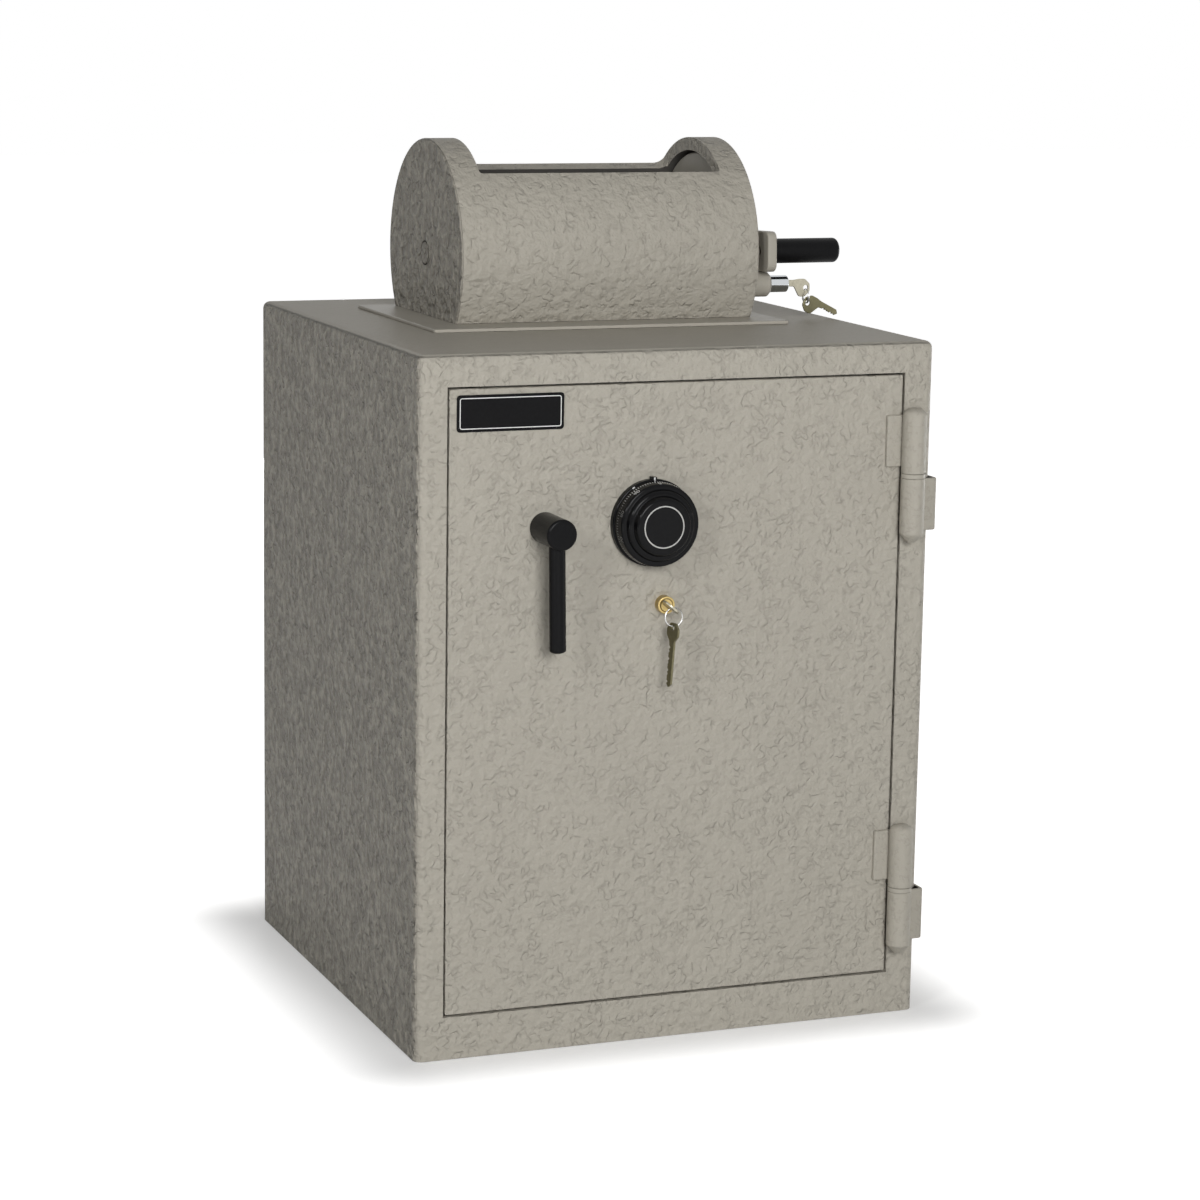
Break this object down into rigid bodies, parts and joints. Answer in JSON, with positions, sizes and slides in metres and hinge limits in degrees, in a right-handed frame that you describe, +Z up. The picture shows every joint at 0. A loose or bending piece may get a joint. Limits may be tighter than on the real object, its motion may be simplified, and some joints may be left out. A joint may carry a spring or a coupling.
{
  "type": "rotary hopper safe",
  "caption": "Steel deposit safe with a hinged bolt-work door, combination dial, key lock and a crank-turned rotary drum hopper on its roof.",
  "frame": {"origin": "on the floor, under the middle of the cabinet's 504 mm by 500 mm foot", "axes": "+X to the right as seen from the front, +Y to the back, +Z up; the door faces -Y"},
  "size_m": [0.5093, 0.546, 0.8173],
  "materials": {
    "wrinkle_paint": "warm grey leather-grain wrinkle paint, satin",
    "smooth_paint": "the same warm grey, laid on smoother",
    "inner_paint": "dull dark grey primer",
    "black_gloss": "glossy black enamel",
    "black_plate": "satin black plate with a thin pale border",
    "black_grip": "satin black moulded sleeve",
    "steel": "plain machined steel",
    "bright_steel": "bright turned steel",
    "chrome": "polished plating",
    "nickel": "tarnished nickel with an olive cast",
    "brass": "worn brass"
  },
  "bodies": {
    "cabinet": {"cabinet_shell": "wrinkle_paint", "back_panel": "wrinkle_paint", "door_stop_top": "inner_paint", "door_stop_bottom": "inner_paint", "deposit_baffle": "inner_paint", "hinge_upper_body_leaf": "wrinkle_paint", "hinge_upper_pin": "steel", "hinge_upper_washer": "smooth_paint", "hinge_lower_body_leaf": "wrinkle_paint", "hinge_lower_pin": "steel", "hinge_lower_washer": "smooth_paint", "hopper_base_plate": "smooth_paint", "hopper_housing": "wrinkle_paint", "end_plate_left": "smooth_paint", "end_plate_right": "smooth_paint", "axle_bush_left": "brass", "axle_bush_right": "brass", "lock_boss": "smooth_paint"},
    "door": {"door_plate": "wrinkle_paint", "hinge_upper_door_leaf": "wrinkle_paint", "hinge_lower_door_leaf": "wrinkle_paint", "bolt_guide": "inner_paint", "boltwork_cover": "inner_paint", "dead_bar": "inner_paint", "bar_strap_upper": "steel", "bar_strap_lower": "steel", "name_plate": "black_plate", "dial_ring": "black_gloss", "lock_case": "steel", "key_barrel": "brass", "key_nut": "brass"},
    "handle": {"handle_hub": "black_gloss", "handle_rod": "black_gloss", "handle_spindle": "steel"},
    "boltwork": {"bolt_bar": "steel", "bolt_lower": "bright_steel", "bolt_middle": "bright_steel", "bolt_upper": "bright_steel"},
    "dial": {"combination_dial": "black_gloss", "dial_spindle": "steel"},
    "lock_bolt": {"lock_bolt": "brass"},
    "door_lock": {"key_plug": "brass", "door_key": "nickel"},
    "door_ring": {"door_key_ring": "bright_steel"},
    "door_spare": {"door_spare_key": "nickel"},
    "drum": {"drum_shell": "smooth_paint", "drum_disc_left": "smooth_paint", "drum_disc_right": "smooth_paint", "axle_left": "steel", "axle_right": "steel", "crank_arm": "smooth_paint", "crank_grip": "black_grip", "grip_bolt": "steel", "axle_cap": "steel"},
    "plunger": {"lock_plunger": "chrome"},
    "hopper_lock": {"hopper_plug": "chrome", "hopper_key": "nickel"},
    "hopper_ring": {"hopper_key_ring": "bright_steel"},
    "hopper_spare": {"hopper_spare_key": "nickel"}
  },
  "joints": [
    {"name": "door_swing", "type": "hinge", "parent": "cabinet", "child": "door", "pos_m": [0.2277, -0.2616, 0.33], "axis": [0, 0, 1], "range_deg": [0, 180]},
    {"name": "handle_turn", "type": "hinge", "parent": "door", "child": "handle", "pos_m": [-0.133, -0.25, 0.4875], "axis": [0, 1, 0], "range_deg": [0, 90]},
    {"name": "bolt_throw", "type": "slide", "parent": "door", "child": "boltwork", "axis": [-1, 0, 0], "range_m": [0, 0.018]},
    {"name": "dial_spin", "type": "hinge", "parent": "door", "child": "dial", "pos_m": [-0.0299, -0.26, 0.488], "axis": [0, 1, 0], "continuous": true},
    {"name": "lock_bolt_lift", "type": "slide", "parent": "door", "child": "lock_bolt", "axis": [0, 0, 1], "range_m": [0, 0.009]},
    {"name": "door_key_turn", "type": "hinge", "parent": "door", "child": "door_lock", "pos_m": [-0.0165, -0.25, 0.4119], "axis": [0, 1, 0], "range_deg": [0, 90]},
    {"name": "door_ring_swing", "type": "hinge", "parent": "door_lock", "child": "door_ring", "pos_m": [-0.0165, -0.2721, 0.4119], "axis": [0, 1, 0], "range_deg": [-8, 4]},
    {"name": "door_spare_swing", "type": "hinge", "parent": "door_ring", "child": "door_spare", "pos_m": [-0.01502, -0.2721, 0.39503], "axis": [1, 0, 0], "range_deg": [-15, 15]},
    {"name": "drum_turn", "type": "hinge", "parent": "cabinet", "child": "drum", "pos_m": [0.007, 0.053, 0.7078], "axis": [-1, 0, 0], "range_deg": [0, 180]},
    {"name": "plunger_push", "type": "slide", "parent": "cabinet", "child": "plunger", "axis": [-1, 0, 0], "range_m": [0, 0.009]},
    {"name": "hopper_key_turn", "type": "hinge", "parent": "plunger", "child": "hopper_lock", "pos_m": [0.1992, -0.031, 0.67939], "axis": [-1, 0, 0], "range_deg": [0, 90]},
    {"name": "hopper_ring_swing", "type": "hinge", "parent": "hopper_lock", "child": "hopper_ring", "pos_m": [0.2203, -0.031, 0.67349], "axis": [0, -1, 0], "range_deg": [0, 12]},
    {"name": "hopper_spare_swing", "type": "hinge", "parent": "hopper_ring", "child": "hopper_spare", "pos_m": [0.22133, -0.0347, 0.66022], "axis": [0, -1, 0], "range_deg": [0, 35]}
  ],
  "couplings": [
    {"joint": "handle_turn", "follows": "bolt_throw", "rad_per_m": 87.26}
  ]
}
